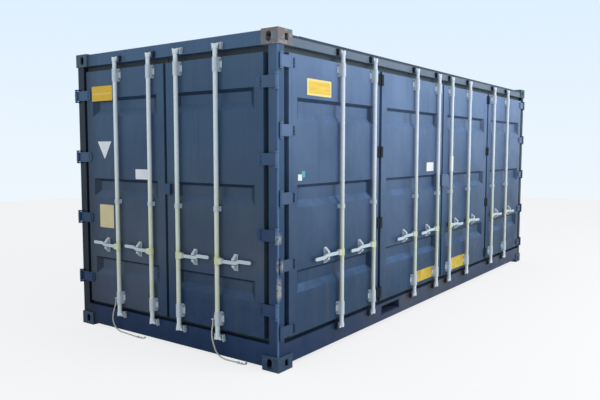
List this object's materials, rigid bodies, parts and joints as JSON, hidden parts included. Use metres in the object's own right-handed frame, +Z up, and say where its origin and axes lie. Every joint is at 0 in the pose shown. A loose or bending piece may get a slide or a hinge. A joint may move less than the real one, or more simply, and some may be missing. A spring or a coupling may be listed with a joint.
{
  "type": "bunded storage container",
  "caption": "Steel storage container with double end doors, a full side of folding doors and a bunded floor under an open grid deck.",
  "frame": {"origin": "on the ground under the middle of the overall box", "axes": "+X runs along the container away from its double end doors, the folding side doors face -Y, +Z is up"},
  "size_m": [6.1079, 2.497, 2.591],
  "materials": {
    "navy_paint": "semi-gloss, weathered",
    "galvanised": "hot-dip galvanised",
    "deck_galvanised": "hot-dip galvanised grating",
    "bund_paint": "satin",
    "door_rubber": "matte",
    "dark_paint": "satin",
    "rope_fibre": "laid fibre rope"
  },
  "bodies": {
    "root": {"bottom_castings": "navy_paint", "top_castings": "navy_paint", "corner_posts": "navy_paint", "door_header": "navy_paint", "door_sill": "navy_paint", "side_top_rail": "navy_paint", "side_bottom_rail": "navy_paint", "back_top_rail": "navy_paint", "back_bottom_rail": "navy_paint", "blind_end_rails": "navy_paint", "back_wall": "navy_paint", "blind_end_wall": "navy_paint", "roof_panel": "navy_paint", "cross_members": "navy_paint", "fork_pocket": "navy_paint", "floor_plate": "bund_paint", "bund_tray": "bund_paint", "deck_bearers": "bund_paint", "grid_deck": "deck_galvanised", "end_hinge_lugs": "navy_paint", "end_keepers": "galvanised", "side_leaf_1": "navy_paint", "side_leaf_2": "navy_paint", "side_leaf_3": "navy_paint", "side_leaf_4": "navy_paint", "side_gaskets": "door_rubber", "side_hinge_blades": "navy_paint", "side_hinge_lugs": "navy_paint", "side_fold_hinges": "dark_paint", "side_brackets": "galvanised", "side_lock_box": "navy_paint", "side_keepers": "dark_paint"},
    "left_door": {"left_door_leaf": "navy_paint", "left_door_gasket": "door_rubber", "left_door_hinges": "navy_paint", "left_door_brackets": "galvanised", "left_rope": "rope_fibre", "left_rope_hook": "galvanised"},
    "right_door": {"right_door_leaf": "navy_paint", "right_door_gasket": "door_rubber", "right_door_hinges": "navy_paint", "right_door_brackets": "galvanised", "end_lock_box": "navy_paint", "right_rope": "rope_fibre", "right_rope_hook": "galvanised"},
    "end_bar_1": {"end_bar_1": "galvanised"},
    "end_bar_2": {"end_bar_2": "galvanised"},
    "end_bar_3": {"end_bar_3": "galvanised"},
    "end_bar_4": {"end_bar_4": "galvanised"},
    "side_bar_1": {"side_bar_1": "galvanised"},
    "side_bar_2": {"side_bar_2": "galvanised"},
    "side_bar_3": {"side_bar_3": "galvanised"},
    "side_bar_4": {"side_bar_4": "galvanised"},
    "side_bar_5": {"side_bar_5": "galvanised"},
    "side_bar_6": {"side_bar_6": "galvanised"},
    "side_bar_7": {"side_bar_7": "galvanised"},
    "side_bar_8": {"side_bar_8": "galvanised"}
  },
  "joints": [
    {"name": "left_door_swing", "type": "hinge", "parent": "root", "child": "left_door", "pos_m": [-3.014, 1.2355, 1.34], "axis": [0, 0, -1], "range_deg": [0, 258]},
    {"name": "right_door_swing", "type": "hinge", "parent": "root", "child": "right_door", "pos_m": [-3.014, -1.1945, 1.34], "axis": [0, 0, 1], "range_deg": [0, 258]},
    {"name": "end_bar_1_turn", "type": "hinge", "parent": "left_door", "child": "end_bar_1", "pos_m": [-3.03, 0.6365, 1.34], "axis": [0, 0, -1], "range_deg": [-100, 0]},
    {"name": "end_bar_2_turn", "type": "hinge", "parent": "left_door", "child": "end_bar_2", "pos_m": [-3.03, 0.1895, 1.34], "axis": [0, 0, -1], "range_deg": [-100, 0]},
    {"name": "end_bar_3_turn", "type": "hinge", "parent": "right_door", "child": "end_bar_3", "pos_m": [-3.03, -0.1485, 1.34], "axis": [0, 0, 1], "range_deg": [-100, 0]},
    {"name": "end_bar_4_turn", "type": "hinge", "parent": "right_door", "child": "end_bar_4", "pos_m": [-3.03, -0.5955, 1.34], "axis": [0, 0, 1], "range_deg": [-100, 0]},
    {"name": "side_bar_1_turn", "type": "hinge", "parent": "root", "child": "side_bar_1", "pos_m": [-2.15, -1.2245, 1.34], "axis": [0, 0, -1], "range_deg": [-100, 0]},
    {"name": "side_bar_2_turn", "type": "hinge", "parent": "root", "child": "side_bar_2", "pos_m": [-1.597, -1.2245, 1.34], "axis": [0, 0, -1], "range_deg": [-100, 0]},
    {"name": "side_bar_3_turn", "type": "hinge", "parent": "root", "child": "side_bar_3", "pos_m": [-0.712, -1.2245, 1.34], "axis": [0, 0, -1], "range_deg": [-100, 0]},
    {"name": "side_bar_4_turn", "type": "hinge", "parent": "root", "child": "side_bar_4", "pos_m": [-0.159, -1.2245, 1.34], "axis": [0, 0, -1], "range_deg": [-100, 0]},
    {"name": "side_bar_5_turn", "type": "hinge", "parent": "root", "child": "side_bar_5", "pos_m": [0.209, -1.2245, 1.34], "axis": [0, 0, 1], "range_deg": [-100, 0]},
    {"name": "side_bar_6_turn", "type": "hinge", "parent": "root", "child": "side_bar_6", "pos_m": [0.762, -1.2245, 1.34], "axis": [0, 0, 1], "range_deg": [-100, 0]},
    {"name": "side_bar_7_turn", "type": "hinge", "parent": "root", "child": "side_bar_7", "pos_m": [1.647, -1.2245, 1.34], "axis": [0, 0, 1], "range_deg": [-100, 0]},
    {"name": "side_bar_8_turn", "type": "hinge", "parent": "root", "child": "side_bar_8", "pos_m": [2.2, -1.2245, 1.34], "axis": [0, 0, 1], "range_deg": [-100, 0]}
  ]
}
